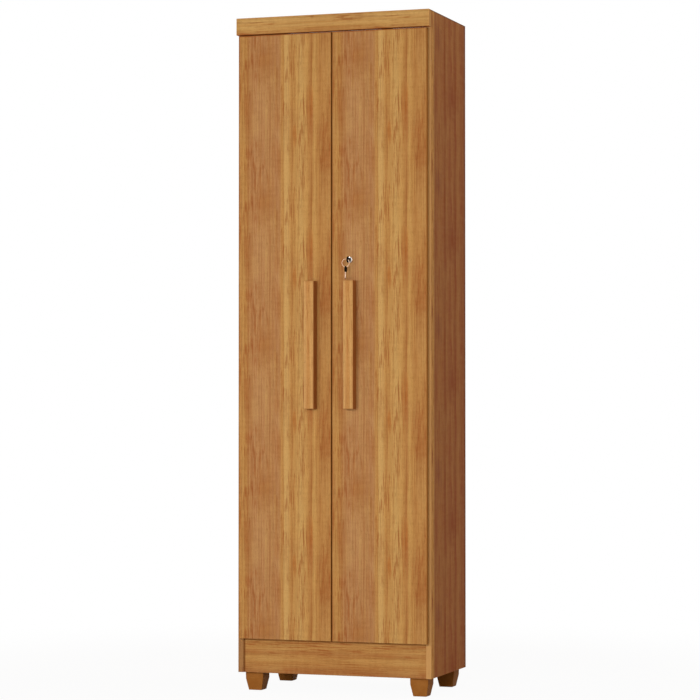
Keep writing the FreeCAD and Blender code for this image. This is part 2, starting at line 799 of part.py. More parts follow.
between_sides("top_panel", "front", "board_rear", "top_under", "cornice_bottom")
between_sides("base_panel", "front", "board_rear", "base_under", "base_top")
between_sides("fixed_shelf", "shelf_front", "board_rear", "fixed_under", "fixed_under + board")
between_sides("plinth_rear", "rail_front_face", "board_rear", "foot_height", "base_under")
plinth_blank = rounded_board(
    "plinth_blank", ("-inner_half", "plinth_front_face", "foot_height"),
    ("inner_half", "plinth_back_face", "base_under"), "edge_rounding",
)
node(cut("plinth_front", plinth_blank, drilling), "plinth_front")
for count, number in enumerate(adjustable):
    under = "base_under + %d * shelf_pitch" % number
    shelf_half = "inner_half - shelf_end_clearance"
    low = ("-(%s)" % shelf_half, "shelf_front", under)
    high = (shelf_half, "shelf_rear", under + " + board")
    node(box("adjustable_shelf_%d" % (count + 1), low, high), "adjustable_shelf_%d" % (count + 1))
cornice_blank = rounded_board(
    "cornice_blank", ("-carcass_half", "front - cornice_thickness", "cornice_bottom"),
    ("carcass_half", "front", "cabinet_height"), "edge_rounding",
)
node(cut("cornice", cornice_blank, drilling), "cornice")

# Back: two thin sheets nailed on, and the strip between them
sheet_half = "carcass_half - back_margin"
sheet_spans = {
    "lower": ("foot_height + back_margin", "joint_height - strip_wall / 2"),
    "upper": ("joint_height + strip_wall / 2", "cornice_bottom"),
}
for name, (low, high) in sheet_spans.items():
    blank = box(
        "back_blank_" + name, ("-(%s)" % sheet_half, "board_rear", low),
        (sheet_half, "board_rear + back_thickness", high),
    )
    node(cut("back_panel_" + name, blank, nail_group), "back_panel_" + name)
web = "strip_wall / 2"
inside = "strip_wall"
outside = "strip_wall + back_thickness"
strip_body, strip_pad = padded_outline("strip_shape", "YZ_Plane", [
    (0, "-strip_lap"),
    (inside, "-strip_lap"),
    (inside, "-" + web),
    (outside, "-" + web),
    (outside, "-strip_lap"),
    (outside + " + strip_wall", "-strip_lap"),
    (outside + " + strip_wall", "strip_lap"),
    (outside, "strip_lap"),
    (outside, web),
    (inside, web),
    (inside, "strip_lap"),
    (0, "strip_lap"),
], "2 * (inner_half - strip_end_clearance)")
node(place(strip_body, (0, "board_rear - strip_wall", "joint_height")), "back_joint_strip")

# Handles: solid bars held from inside by two long screws each
long_screw = headed_screw("long_screw", "door_thickness + handle_screw_reach")
handle_screws = {}
for side, word in SIDES.items():
    x = at_side(side, "handle_centre")
    screws = group("handle_screws_" + word, [
        copy_at(
            "handle_screw_%s_%d" % (word, end), long_screw,
            (x, "door_back", "handle_middle + (%d) * handle_screw_spacing / 2" % end), AIM["-y"],
        )
        for end in (-1, 1)
    ])
    handle_screws[side] = node(screws, "handle_screws_" + word)
    near = at_side(side, "handle_inset")
    away = at_side(side, "handle_inset + handle_width")
    low_x, high_x = (away, near) if side < 0 else (near, away)
    bar = rounded_board(
        "handle_blank_" + word, (low_x, "door_front - handle_depth", "handle_height"),
        (high_x, "door_front", "handle_height + handle_length"), "handle_rounding", on_front,
    )
    node(cut("handle_" + word, bar, screws), "handle_" + word)

# Slide bolt on the inside of the left door, at the top of its free edge
slide_x = "-slide_inset"
slide_y = "door_back + slide_setback"
slide_middle = "(slide_bottom + slide_top) / 2"
knob_z = "slide_bottom + slide_knob_place"
case_screws = node(group("bolt_case_screws", [
    copy_at(
        "case_screw_%d" % end, short_screw,
        ("%s + (%d) * slide_screw_spread" % (slide_x, end), "door_back + slide_flange", slide_middle),
        AIM["-y"],
    )
    for end in (-1, 1)
]), "bolt_case_screws")


def slide_bolt_pieces():
    """The case with its bore and slot, and the rod with its knob."""
    half = "slide_case_width / 2"
    flange_half = "slide_flange_width / 2"
    flange = box(
        "case_flange", ("%s - %s" % (slide_x, flange_half), "door_back", "slide_bottom"),
        ("%s + %s" % (slide_x, flange_half), "door_back + slide_flange", "slide_top"),
    )
    block = box(
        "case_block", ("%s - %s" % (slide_x, half), "door_back", "slide_bottom"),
        ("%s + %s" % (slide_x, half), "door_back + slide_case_depth", "slide_top"),
    )
    bore = cylinder(
        "case_bore", "slide_radius + slide_clearance", "slide_case_height + 2 * overrun",
        (slide_x, slide_y, "slide_bottom - overrun"),
    )
    slot_half = "slide_knob_radius + slide_slot_clearance"
    slot = box(
        "case_slot", ("%s - (%s)" % (slide_x, slot_half), slide_y, "%s - (%s)" % (knob_z, slot_half)),
        ("%s + %s" % (slide_x, slot_half), "door_back + slide_case_depth + overrun",
         "%s + slide_travel + %s" % (knob_z, slot_half)),
    )
    node(cut("bolt_case", fuse("case_outside", [flange, block]), [bore, slot, case_screws]), "bolt_case")
    rod = cylinder(
        "slide_rod", "slide_radius", "slide_case_height - slide_foot + slide_lead",
        (slide_x, slide_y, "slide_bottom + slide_foot"),
    )
    knob = cylinder(
        "slide_knob", "slide_knob_radius", "slide_case_depth - slide_setback + slide_knob_reach",
        (slide_x, slide_y, knob_z), "y",
    )
    node(fuse("slide_bolt", [rod, knob]), "slide_bolt")


slide_bolt_pieces()

# Strike plate on the left door, where the lock's lever passes behind it
strike_edge = "centre_gap / 2 + strike_inset"
node(box(
    "strike_plate",
    ("-(%s) - strike_width" % strike_edge, "door_back", "lock_height - strike_height / 2"),
    ("-(%s)" % strike_edge, "door_back + strike_thickness", "lock_height + strike_height / 2"),
), "strike_plate")

# Cam lock of the right door, drawn about the Y axis from the door's front face
lock_at = ("lock_inset", "door_front", "lock_height")
housing = turned_body("housing_shape", [
    ("plug_radius + plug_clearance", "-bezel_proud"),
    ("bezel_radius - bezel_chamfer", "-bezel_proud"),
    ("bezel_radius", "bezel_chamfer - bezel_proud"),
    ("bezel_radius", 0),
    ("barrel_radius", 0),
    ("barrel_radius", "door_thickness + barrel_overhang"),
    ("plug_radius + plug_clearance", "door_thickness + barrel_overhang"),
])
node(place(housing, lock_at), "lock_housing")

nut_blank = doc.addObject("Part::Prism", "nut_blank")
bind(nut_blank, Circumradius="nut_radius", Height="nut_thickness")
place(nut_blank, (0, "door_thickness", 0), TURNS["y"])
nut_hole = cylinder(
    "nut_hole", "barrel_radius", "nut_thickness + 2 * overrun", (0, "door_thickness - overrun", 0), "y",
)
node(copy_at("lock_nut", cut("nut", nut_blank, nut_hole), lock_at), "lock_nut")

lever_screw_shank = cylinder(
    "lever_screw_shank", "screw_radius", "lever_screw_length", (0, "lever_back", 0), "-y",
)
lever_screw_top = cylinder(
    "lever_screw_top", "lever_screw_head", "screw_head_height", (0, "lever_back", 0), "y",
)
lever_screw = fuse("lever_screw", [lever_screw_shank, lever_screw_top])
node(copy_at("lock_cam_screw", lever_screw, lock_at), "lock_cam_screw")

drive = box(
    "plug_drive", ("-drive_width / 2", "lever_front", "-drive_width / 2"),
    ("drive_width / 2", "lever_back", "drive_width / 2"),
)


def lock_plug():
    """The turning plug, with its keyway in front and its square drive behind."""
    barrel = cylinder(
        "plug_barrel", "plug_radius", "lever_front + bezel_proud - plug_recess",
        (0, "plug_recess - bezel_proud", 0), "y",
    )
    half_wide = "blade_thickness / 2 + blade_clearance"
    half_high = "blade_width / 2 + blade_clearance"
    keyway = box(
        "plug_keyway", ("-(%s)" % half_wide, "-bezel_proud - overrun", "-(%s)" % half_high),
        (half_wide, "keyway_end", half_high),
    )
    return cut("plug", fuse("plug_outside", [barrel, drive]), [keyway, lever_screw])


node(copy_at("lock_plug", lock_plug(), lock_at), "lock_plug")


def lock_lever():
    """The long flat lever behind the door, hanging down when the lock is open."""
    hub = cylinder("lever_hub", "lever_width / 2", "lever_thickness", (0, "lever_front", 0), "y")
    tip_z = "lever_width / 2 - lever_length"
    tip = cylinder("lever_tip", "lever_width / 2", "lever_thickness", (0, "lever_front", tip_z), "y")
    bar = box("lever_bar", ("-lever_width / 2", "lever_front", tip_z), ("lever_width / 2", "lever_back", 0))
    return cut("lever", fuse("lever_outside", [hub, bar, tip]), [drive, lever_screw])


node(copy_at("lock_cam", lock_lever(), lock_at), "lock_cam")


def key_masters():
    """A key drawn from the middle of its ring hole, blade along +Y: steel blade and moulded bow."""
    half = "blade_width / 2"
    end = "blade_root + blade_length"
    points = [("blade_root - blade_tang", "-" + half), (end + " - " + half, "-" + half), (end, 0),
              (end + " - " + half, half)]
    tooth_shares = (0.70, 0.60, 0.50, 0.38, 0.28, 0.16)
    for number, share in enumerate(tooth_shares):
        low = half + " - tooth_depth" if number % 2 == 0 else half
        points.append(("blade_root + blade_length * %.2f" % share, low))
    points.append(("blade_root - blade_tang", half))
    blade, pad = padded_outline("key_blade_shape", "YZ_Plane", points, "blade_thickness")
    disc = doc.addObject("PartDesign::Body", "key_bow_shape")
    sketch = sketch_on(disc, "YZ_Plane", "key_bow_outline")
    middle = FreeCAD.Vector(value("bow_centre"), 0, 0)
    circle = Part.Circle(middle, FreeCAD.Vector(0, 0, 1), value("bow_radius"))
    sketch.addGeometry(circle, False)
    for kind, formula, target in (
        ("DistanceX", "bow_centre", (-1, 1, 0, 3)),
        ("DistanceY", 0, (-1, 1, 0, 3)),
        ("Radius", "bow_radius", (0,)),
    ):
        held = sketch.addConstraint(Sketcher.Constraint(kind, *target, value(formula)))
        sketch.setExpression("Constraints[%d]" % held, linked(formula))
    pad = disc.newObject("PartDesign::Pad", "key_bow_pad")
    pad.Profile = sketch
    pad.Midplane = True
    bind(pad, Length="bow_thickness")
    round_edges(disc, pad, "bow_rounding")
    hole = cylinder("bow_hole", "bow_hole_radius", "bow_thickness + 2 * overrun",
                    ("-bow_thickness / 2 - overrun", 0, 0), "x")
    return blade, cut("key_bow_master", disc, [hole, blade])


key_blade, key_bow = key_masters()
key_at = ("lock_inset", "key_hole_place", "lock_height")
node(copy_at("key_blade", key_blade, key_at), "key_blade")
node(copy_at("key_bow", key_bow, key_at), "key_bow")

ring = doc.addObject("Part::Torus", "ring_shape")
bind(ring, Radius1="ring_radius", Radius2="ring_wire")
node(place(ring, ("ring_place", "key_hole_place", "ring_centre"), TURNS["y"]), "key_ring")

hanging = FreeCAD.Rotation(FreeCAD.Vector(1, 0, 0), -90)
spare_at = ("ring_place", "key_hole_place", "ring_foot - ring_seat")
node(copy_at("spare_key_blade", key_blade, spare_at, hanging), "spare_key_blade")
node(copy_at("spare_key_bow", key_bow, spare_at, hanging), "spare_key_bow")

# Doors, with small buffers where they close on the top and base boards
bumper_length = "door_gap - bumper_clearance"
bumper_heights = ("(base_under + base_top) / 2", "(top_under + door_top) / 2")
lock_hole = cylinder(
    "lock_hole", "barrel_radius", "door_thickness + 2 * overrun",
    ("lock_inset", "door_front - overrun", "lock_height"), "y",
)
door_extras = {-1: [case_screws], 1: [lock_hole]}
for side, word in SIDES.items():
    node(group("door_bumpers_" + word, [
        cylinder(
            "bumper_%s_%d" % (word, n), "bumper_radius", bumper_length,
            (at_side(side, "centre_gap / 2 + bumper_inset"), "door_back", z), "y",
        )
        for n, z in enumerate(bumper_heights)
    ]), "door_bumpers_" + word)
    outer = at_side(side, "door_outer")
    inner = at_side(side, "centre_gap / 2")
    low_x, high_x = (outer, inner) if side < 0 else (inner, outer)
    blank = rounded_board(
        "door_blank_" + word, (low_x, "door_front", "door_bottom"), (high_x, "door_back", "door_top"),
        "door_rounding",
    )
    tools = [cup_bores[side], cup_screws[side], handle_screws[side]] + door_extras[side]
    node(cut("door_" + word, blank, tools), "door_" + word)


def check_and_write():
    """Stop on any failed object or bad shape; otherwise write one file per piece."""
    doc.recompute()
    faults = [thing.Name for thing in doc.Objects if {"Invalid", "Error"} & set(thing.State)]
    shapes = {}
    for thing in nodes:
        shape = Part.getShape(thing) if thing.TypeId == "App::Link" else thing.Shape
        if shape.isNull() or not shape.isValid() or not shape.Solids:
            faults.append(thing.Label)
        shapes[thing.Label] = shape
    if faults:
        raise RuntimeError("failed: " + ", ".join(faults))
    os.makedirs("parts", exist_ok=True)
    for label, shape in shapes.items():
        Part.makeCompound(shape.Solids).exportStep("parts/%s.step" % label)
    print("%d pieces written" % len(shapes))


check_and_write()
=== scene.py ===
import math

import bmesh
import bpy
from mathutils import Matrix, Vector


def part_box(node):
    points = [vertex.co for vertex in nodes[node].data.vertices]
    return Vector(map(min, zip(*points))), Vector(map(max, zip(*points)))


# Tall two-door utility cabinet in wood-look laminate, metres, +Z up, doors facing -Y

FULL_TURN = 2 * math.pi

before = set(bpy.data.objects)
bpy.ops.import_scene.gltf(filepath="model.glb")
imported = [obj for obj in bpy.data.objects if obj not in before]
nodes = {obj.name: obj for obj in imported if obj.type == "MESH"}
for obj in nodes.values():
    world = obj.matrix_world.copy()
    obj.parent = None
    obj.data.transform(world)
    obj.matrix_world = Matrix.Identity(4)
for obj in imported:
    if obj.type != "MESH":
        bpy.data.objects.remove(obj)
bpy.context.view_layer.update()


# Shader building

class Signal:
    """A number on a node's output; arithmetic on it adds the Math nodes."""

    def __init__(self, finish, socket):
        self.finish = finish
        self.socket = socket

    def math(self, operation, first, second):
        return self.finish.node("ShaderNodeMath", {"operation": operation}, {0: first, 1: second})

    def __add__(self, other):
        return self.math("ADD", self, other)

    def __radd__(self, other):
        return self.math("ADD", other, self)

    def __sub__(self, other):
        return self.math("SUBTRACT", self, other)

    def __mul__(self, other):
        return self.math("MULTIPLY", self, other)

    def __rmul__(self, other):
        return self.math("MULTIPLY", other, self)

    def __truediv__(self, other):
        return self.math("DIVIDE", self, other)

    def curve(self, operation):
        """A function of this one number, such as its sine or its size without a sign."""
        return self.finish.node("ShaderNodeMath", {"operation": operation}, {0: self})


class Finish:
    """One procedural material, its pattern on Object coordinates."""

    def __init__(self, name):
        self.material = bpy.data.materials.new(name)
        self.material.use_nodes = True
        self.tree = self.material.node_tree
        self.shader = self.tree.nodes["Principled BSDF"]
        self.place = self.node("ShaderNodeTexCoord", {}, {}, "Object")

    def node(self, kind, settings, inputs, output=0):
        """Add a node: its settings first, then the value or link of each socket."""
        made = self.tree.nodes.new(kind)
        for name, value in settings.items():
            setattr(made, name, value)
        for name, value in inputs.items():
            self.feed(made.inputs[name], value)
        return Signal(self, made.outputs[output])

    def feed(self, socket, value):
        """Link a signal to a socket, or set a plain value on it."""
        if isinstance(value, Signal):
            self.tree.links.new(value.socket, socket)
        else:
            socket.default_value = value

    def set(self, **sockets):
        """Set the shader's own sockets, underscores standing for spaces."""
        for name, value in sockets.items():
            self.feed(self.shader.inputs[name.replace("_", " ")], value)

    def axis(self, letter):
        """One coordinate of the place, in metres."""
        return self.node("ShaderNodeSeparateXYZ", {}, {"Vector": self.place}, letter)

    def noise(self, lumps, detail=2.0, roughness=0.5, place=None, seed=0.0):
        """Soft noise from 0 to 1, with so many lumps per metre along each axis."""
        scaling = {"Vector": place or self.place, "Location": even(seed), "Scale": lumps}
        scaled = self.node("ShaderNodeMapping", {}, scaling)
        inputs = {"Vector": scaled, "Scale": 1.0, "Detail": detail, "Roughness": roughness}
        return self.node("ShaderNodeTexNoise", {"noise_dimensions": "3D"}, inputs)

    def ramp(self, value, zero, one):
        """A smooth change from 0, where the value is the first limit, to 1 at the second."""
        inputs = {"Value": value, "From Min": zero, "From Max": one}
        return self.node("ShaderNodeMapRange", {"interpolation_type": "SMOOTHSTEP"}, inputs)

    def near(self, letter, place, reach):
        """1 within half a reach of a plane across one axis, 0 a whole reach from it."""
        away = (self.axis(letter) - place).curve("ABSOLUTE")
        return self.ramp(away, reach, reach / 2)

    def tones(self, value, layout):
        """Colours along a value, the layout giving the place and tone of each stop."""
        made = self.node("ShaderNodeValToRGB", {}, {"Fac": value})
        stops = made.socket.node.color_ramp.elements
        while len(stops) > 1:
            stops.remove(stops[-1])
        for number, (position, shade) in enumerate(layout):
            stop = stops.new(position) if number else stops[0]
            stop.position = position
            stop.color = shade
        return made

    def mix(self, share, first, second):
        """Blend one colour into another by a share."""
        settings = {"data_type": "RGBA", "clamp_factor": True}
        return self.node("ShaderNodeMix", settings, {0: share, 6: first, 7: second}, 2)

    def bump(self, height, depth):
        """Relief of a height signal, the depth of one whole step given in metres."""
        self.set(Normal=self.node("ShaderNodeBump", {}, {"Height": height, "Distance": depth}))


def tone(red, green, blue):
    """A linear colour from its three screen values of 0 to 255."""
    shares = [channel / 255 for channel in (red, green, blue)]
    linear = [((s + 0.055) / 1.055) ** 2.4 if s > 0.04045 else s / 12.92 for s in shares]
    return tuple(linear) + (1.0,)


def darker(colour, share):
    """The same colour at a share of its strength."""
    return tuple(channel * share for channel in colour[:3]) + (1.0,)


def even(value):
    """The same value for all three axes."""
    return (value, value, value)


def diagonal(first, second):
    """How far apart two places are whose distances along two axes are given."""
    return (first * first + second * second).curve("SQRT")


# Wood tones
PALE_STRAW = tone(198, 158, 97)
STRAW = tone(194, 155, 94)
GOLDEN = tone(190, 145, 83)
HONEY = tone(184, 137, 77)
AMBER = tone(176, 126, 70)
UMBER = tone(165, 110, 60)
RUSSET = tone(163, 110, 65)
ROSE = tone(171, 122, 77)
PALE_ROSE = tone(177, 131, 86)
RED_FLECK = tone(148, 80, 38)
ORANGE_FLECK = tone(168, 94, 38)
FIBRE = tone(112, 62, 26)
PORE = tone(70, 36, 16)
# Painted shade: a deep warm tone laid over the whole of the side panels
DEEP_PAINTED_SHADE = tone(168, 58, 8)
SUNLIT = tone(248, 198, 112)
BURNT = tone(138, 74, 26)
PLUM = tone(122, 74, 52)
DARK_LINE = tone(66, 40, 22)

# Tones along the boards' edges: partly the tone of their edge banding, and painted light and shade on
# narrow faces and along corners
# Front edge band of the right side panel, lightened with painted light
FRONT_EDGE_BAND_AND_LIGHT = tone(178, 138, 91)
# Front edge band of the left side panel, darkened with painted shade
LEFT_FRONT_EDGE_BAND_AND_SHADE = tone(124, 88, 62)
# Painted shadow on the plinth along its left end and under the doors
PLINTH_SHADOW_TONE = tone(92, 44, 10)
# Edge band of the doors' left and right faces, darkened with painted shade for the gaps
DOOR_EDGE_BAND_AND_SHADE = tone(170, 112, 52)
# Painted shade under the cornice, on the doors' tops and along the cornice's underside
SHADED_EDGE = tone(150, 66, 8)
# Painted shade on the handles' narrow sides
HANDLE_SIDE_SHADE = tone(152, 84, 32)
# Edge band of the cornice's ends, made paler with painted light
CORNICE_END_BAND_AND_LIGHT = tone(214, 160, 96)

# How far those tones reach from a corner, in metres, and how strongly they cover the print
EDGE_BAND = 0.0012
DOOR_TOP_BAND = 0.0024
SIDE_TOP_BAND = 0.0034
PLINTH_SHADOW_BAND = 0.0060
EDGE_SHARE = 0.7

# Where each tone lies across the printed laminate, as shares of the board's width
DOOR_LAYOUT = [
    (0.00, UMBER), (0.02, AMBER), (0.05, HONEY), (0.08, HONEY), (0.12, ROSE), (0.145, ROSE),
    (0.165, PALE_ROSE), (0.20, PALE_ROSE), (0.27, PALE_ROSE), (0.34, ROSE), (0.435, PALE_ROSE),
    (0.470, HONEY), (0.48, HONEY), (0.486, UMBER), (0.494, STRAW), (0.51, PALE_STRAW),
    (0.54, PALE_STRAW), (0.56, HONEY), (0.575, AMBER), (0.60, HONEY), (0.62, GOLDEN), (0.68, STRAW),
    (0.735, GOLDEN), (0.77, AMBER), (0.795, UMBER), (0.802, GOLDEN), (0.83, GOLDEN), (0.85, HONEY),
    (0.90, AMBER), (1.00, AMBER),
]
# The side panel's last stops darken its rear edge to a dark line
SIDE_LAYOUT = [
    (0.00, SUNLIT), (0.055, SUNLIT), (0.09, STRAW), (0.115, UMBER), (0.14, AMBER), (0.24, HONEY),
    (0.34, AMBER), (0.39, BURNT), (0.45, GOLDEN), (0.53, UMBER), (0.62, GOLDEN), (0.69, BURNT),
    (0.73, HONEY), (0.80, HONEY), (0.86, UMBER), (0.94, UMBER), (0.965, DARK_LINE), (1.00, DARK_LINE),
]
SHELF_LAYOUT = [
    (0.00, AMBER), (0.15, RUSSET), (0.30, HONEY), (0.45, GOLDEN),
    (0.55, HONEY), (0.70, STRAW), (0.85, GOLDEN), (1.00, HONEY),
]
PLINTH_LAYOUT = [
    (0.00, RUSSET), (0.15, UMBER), (0.30, AMBER), (0.45, HONEY),
    (0.60, UMBER), (0.75, HONEY), (0.90, AMBER), (1.00, UMBER),
]
CORNICE_LAYOUT = [
    (0.00, AMBER), (0.15, AMBER), (0.30, GOLDEN), (0.45, STRAW),
    (0.55, GOLDEN), (0.70, PALE_STRAW), (0.85, STRAW), (1.00, AMBER),
]
HANDLE_LAYOUT = [
    (0.00, tone(202, 158, 101)), (0.18, tone(200, 154, 97)), (0.35, tone(190, 137, 80)),
    (0.55, tone(187, 133, 76)), (0.75, tone(200, 153, 94)), (1.00, tone(198, 150, 94)),
]

# Smudges of the print: place across, place in the repeat, half width, half length, tone and strength.
# Places and half sizes are shares of the board's width and of the repeat.
DOOR_SMUDGES = [
    (0.10, 0.00, 0.045, 0.22, RED_FLECK, 0.80),
    (0.10, 0.33, 0.040, 0.10, RED_FLECK, 0.60),
    (0.10, 0.76, 0.040, 0.06, RED_FLECK, 0.60),
    (0.27, 0.42, 0.190, 0.14, RUSSET, 0.85),
    (0.28, 0.43, 0.080, 0.05, UMBER, 0.50),
    (0.42, 0.29, 0.030, 0.10, RED_FLECK, 0.50),
    (0.42, 0.02, 0.030, 0.10, RED_FLECK, 0.45),
    (0.43, 0.70, 0.035, 0.12, RED_FLECK, 0.52),
    (0.60, 0.90, 0.030, 0.07, ORANGE_FLECK, 0.70),
    (0.60, 0.55, 0.030, 0.12, AMBER, 0.50),
    (0.70, 0.75, 0.080, 0.10, AMBER, 0.45),
    (0.775, 0.04, 0.032, 0.20, ORANGE_FLECK, 0.80),
    (0.790, 0.95, 0.012, 0.12, RED_FLECK, 0.70),
    (0.94, 0.69, 0.100, 0.20, RED_FLECK, 0.62),
    (0.87, 0.35, 0.040, 0.18, UMBER, 0.50),
]
SIDE_SMUDGES = [
    (0.20, 0.54, 0.090, 0.10, PLUM, 0.70),
    (0.45, 0.92, 0.260, 0.12, GOLDEN, 0.40),
    (0.14, 0.20, 0.040, 0.16, UMBER, 0.60),
    (0.41, 0.02, 0.035, 0.09, RED_FLECK, 0.80),
    (0.62, 0.17, 0.240, 0.13, BURNT, 0.70),
    (0.70, 0.38, 0.030, 0.12, RED_FLECK, 0.70),
    (0.70, 0.88, 0.035, 0.16, RED_FLECK, 0.70),
]

# A smudge fades in between these distances from its middle, and the streaks fray its rim
SMUDGE_RIM = (1.2, 0.2)
SMUDGE_FRAY = 4.0

# The printed pattern repeats along the grain after this length, in metres
REPEAT = 0.387

# Noise layers of the print: lumps per metre along the grain and across it, and detail
LAYERS = {
    "waver": (9.0, 40.0, 2.0),
    "clouds": (6.0, 12.0, 3.0),
    "bands": (2.0, 60.0, 3.0),
    "streaks": (7.0, 170.0, 3.0),
    "clusters": (8.0, 26.0, 2.0),
    "flecks": (16.0, 300.0, 3.0),
    "lines": (3.0, 480.0, 2.0),
    "figure": (110.0, 30.0, 3.0),
    "fibres": (30.0, 1100.0, 2.0),
    "pores": (120.0, 1700.0, 1.0),
}

# The layers' noise is taken from places this far apart, so that no two are alike
SEED_STEP = 4.0

# How a layer tints the print: the noise at which a tone sets in and is full, its share and the tone
TINTS = {
    "clouds": [(0.52, 0.68, 0.22, RUSSET), (0.48, 0.34, 0.24, STRAW)],
    "bands": [(0.52, 0.66, 0.24, AMBER), (0.48, 0.36, 0.20, STRAW)],
    "streaks": [(0.52, 0.66, 0.24, RED_FLECK), (0.48, 0.34, 0.20, STRAW)],
    "flecks": [(0.52, 0.62, 0.70, RED_FLECK)],
    "lines": [(0.50, 0.66, 0.30, FIBRE), (0.50, 0.36, 0.16, STRAW)],
    "figure": [(0.50, 0.66, 0.07, FIBRE), (0.50, 0.34, 0.08, STRAW)],
    "fibres": [(0.50, 0.68, 0.22, FIBRE)],
}

# Where flecks gather and where pores open, as limits of their noise, and how dark pores are
CLUSTER_LIMITS = (0.44, 0.60)
PORE_LIMITS = (0.62, 0.68)
PORE_SHARE = 0.3

# How far the zones' borders waver, as a share of the board's width
WAVER_SHARE = 0.025

# The laminate's skin: its gloss, its roughness and what the fibres add to that, its relief in metres
# and the fibres' share of it
LAMINATE_GLOSS = 0.02
LAMINATE_ROUGHNESS = 0.46
FIBRE_ROUGHNESS = 0.14
LAMINATE_RELIEF = 0.00006
FIBRE_RELIEF_SHARE = 0.5

# How one board's print differs from another's: where its noise is taken, how strong its marks are,
# and its share of the deep tone, which is painted shade standing in for the side panels' shade
SHELF_SEED = 5.0
CORNICE_SEED = 7.0
PLINTH_SEED = 9.0
HANDLE_SEED = 11.0
HANDLE_CONTRAST = 0.8
SIDE_CONTRAST = 1.2
SIDE_PAINTED_SHADE_SHARE = 0.29

# How the print lies on a board: the axes across the grain, through the board and along the grain
UPRIGHT_FRONT = ("X", "Y", "Z")
UPRIGHT_SIDE = ("Y", "X", "Z")
LEVEL_FRONT = ("Z", "Y", "X")
LEVEL_SHELF = ("Y", "Z", "X")


class Grain:
    """Noise laid out on one board: across it from one edge, and along its grain round one repeat."""

    def __init__(self, finish, axes, edge, width, seed):
        across, through, along = axes
        aside = finish.axis(across) - edge
        radius = REPEAT / FULL_TURN
        self.finish = finish
        self.seed = seed
        self.share = aside / width
        self.turn = finish.axis(along) * (FULL_TURN / REPEAT)
        parts = {
            "X": aside + finish.axis(through),
            "Y": self.turn.curve("COSINE") * radius,
            "Z": self.turn.curve("SINE") * radius,
        }
        self.place = finish.node("ShaderNodeCombineXYZ", {}, parts)

    def noise(self, layer):
        """The noise of one named layer."""
        along, across, detail = LAYERS[layer]
        seed = self.seed + SEED_STEP * list(LAYERS).index(layer)
        return self.finish.noise((across, along, along), detail, place=self.place, seed=seed)

    def distance(self, across, along, half_width, half_length):
        """How far from a place on the print, 1 at the rim of an oval; the same in every repeat."""
        aside = (self.share - across) / half_width
        lifted = (self.turn * 0.5 - math.pi * along).curve("SINE") / (math.pi * half_length)
        return diagonal(aside, lifted)


def wood_look(
    name, axes, edge, width, layout, smudges=(), seed=0.0, contrast=1.0, painted_shade_share=0.0, edge_light_and_shade=(),
):
    """Printed wood-look laminate: zones, smudges, streaks, flecks, lines, silky figure and pores.

    The print begins at the board's edge and runs over its width.
    An entry of edge_light_and_shade is an axis, a place on it, how far its tone reaches and that tone,
    which paints light and shade along an edge, partly over the edge banding's own tone.
    The painted_shade_share of a deep tone paints shade over the whole board.
    """
    finish = Finish(name)
    grain = Grain(finish, axes, edge, width, seed)
    noises = {layer: grain.noise(layer) for layer in LAYERS}

    def blend(colour, mask, zero, one, share, shade):
        return finish.mix(finish.ramp(mask, zero, one) * share * contrast, colour, shade)

    def tint(colour, layer, where=1.0):
        for zero, one, share, shade in TINTS[layer]:
            colour = blend(colour, noises[layer], zero, one, where * share, shade)
        return colour

    colour = finish.tones(grain.share + (noises["waver"] - 0.5) * WAVER_SHARE, layout)
    fray = (noises["streaks"] - 0.5) * SMUDGE_FRAY
    for across, along, half_width, half_length, shade, strength in smudges:
        distance = grain.distance(across, along, half_width, half_length) + fray
        colour = blend(colour, distance, *SMUDGE_RIM, strength, shade)
    for layer in ("clouds", "bands", "streaks"):
        colour = tint(colour, layer)
    colour = tint(colour, "flecks", finish.ramp(noises["clusters"], *CLUSTER_LIMITS))
    for layer in ("lines", "figure", "fibres"):
        colour = tint(colour, layer)
    pores = finish.ramp(noises["pores"], *PORE_LIMITS)
    colour = finish.mix(pores * PORE_SHARE, colour, PORE)
    # Painted shade: a share of a deep warm tone over the whole board
    colour = finish.mix(painted_shade_share, colour, DEEP_PAINTED_SHADE)
    # Painted light and shade along the board's edges, partly the edge banding's own tone
    for letter, place, reach, shade in edge_light_and_shade:
        colour = finish.mix(finish.near(letter, place, reach) * EDGE_SHARE, colour, shade)
    roughness = LAMINATE_ROUGHNESS + noises["fibres"] * FIBRE_ROUGHNESS
    finish.set(Base_Color=colour, Roughness=roughness, Specular_IOR_Level=LAMINATE_GLOSS)
    finish.bump(noises["fibres"] * FIBRE_RELIEF_SHARE - pores, LAMINATE_RELIEF)
    return finish.material


# Laminates, each laid out on its own board

def both_ends(low, high, shade):
    """Tones for the narrow faces at the left and right of a board: their edge banding with painted
    light and shade.
    """
    return [("X", low.x, EDGE_BAND, shade), ("X", high.x, EDGE_BAND, shade)]


def door_look(name, low, high):
    """Door laminate, its pattern measured from the door's own left edge, with painted shade on its
    narrow sides and a painted shadow of the cornice along its top.
    """
    edge_light_and_shade = both_ends(low, high, DOOR_EDGE_BAND_AND_SHADE)
    # Painted shadow of the cornice along the door's top
    edge_light_and_shade.append(("Z", high.z, DOOR_TOP_BAND, SHADED_EDGE))
    width = high.x - low.x
    return wood_look(name, UPRIGHT_FRONT, low.x, width, DOOR_LAYOUT, DOOR_SMUDGES, edge_light_and_shade=edge_light_and_shade)


def handle_look(name, low, high):
    """Lacquered handle wood, with painted shade on the bars' narrow sides."""
    return wood_look(
        name, UPRIGHT_FRONT, low.x, high.x - low.x, HANDLE_LAYOUT,
        seed=HANDLE_SEED, contrast=HANDLE_CONTRAST, edge_light_and_shade=both_ends(low, high, HANDLE_SIDE_SHADE),
    )


